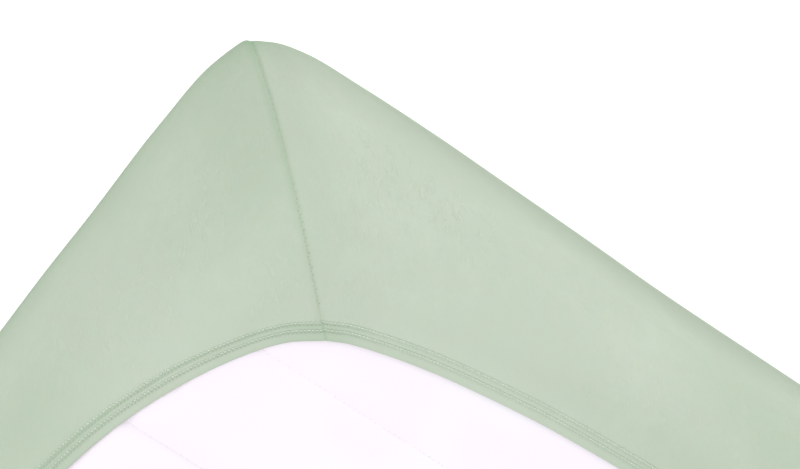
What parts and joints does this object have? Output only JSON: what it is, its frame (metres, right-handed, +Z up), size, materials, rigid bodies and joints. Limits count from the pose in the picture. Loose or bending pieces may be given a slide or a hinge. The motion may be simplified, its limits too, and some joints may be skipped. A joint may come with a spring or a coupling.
{
  "type": "fitted sheet on a mattress",
  "caption": "Stretch jersey fitted sheet with boxed, seamed corners and a turned elastic hem, pulled over a plain channel-quilted mattress that lies with its underside up.",
  "frame": {"origin": "on the ground, below the middle of the covered mattress, in the plane of the sleeping face that it lies on", "axes": "+X across the mattress, +Y along it, +Z up, from the sleeping face to the underside with the open hem"},
  "size_m": [0.9024, 2.0024, 0.1822],
  "materials": {
    "jersey": "brushed sage-green cotton jersey, matt",
    "ticking": "white quilted knit ticking, matt"
  },
  "bodies": {
    "root": {"fitted_sheet": "jersey", "mattress": "ticking"}
  },
  "joints": []
}
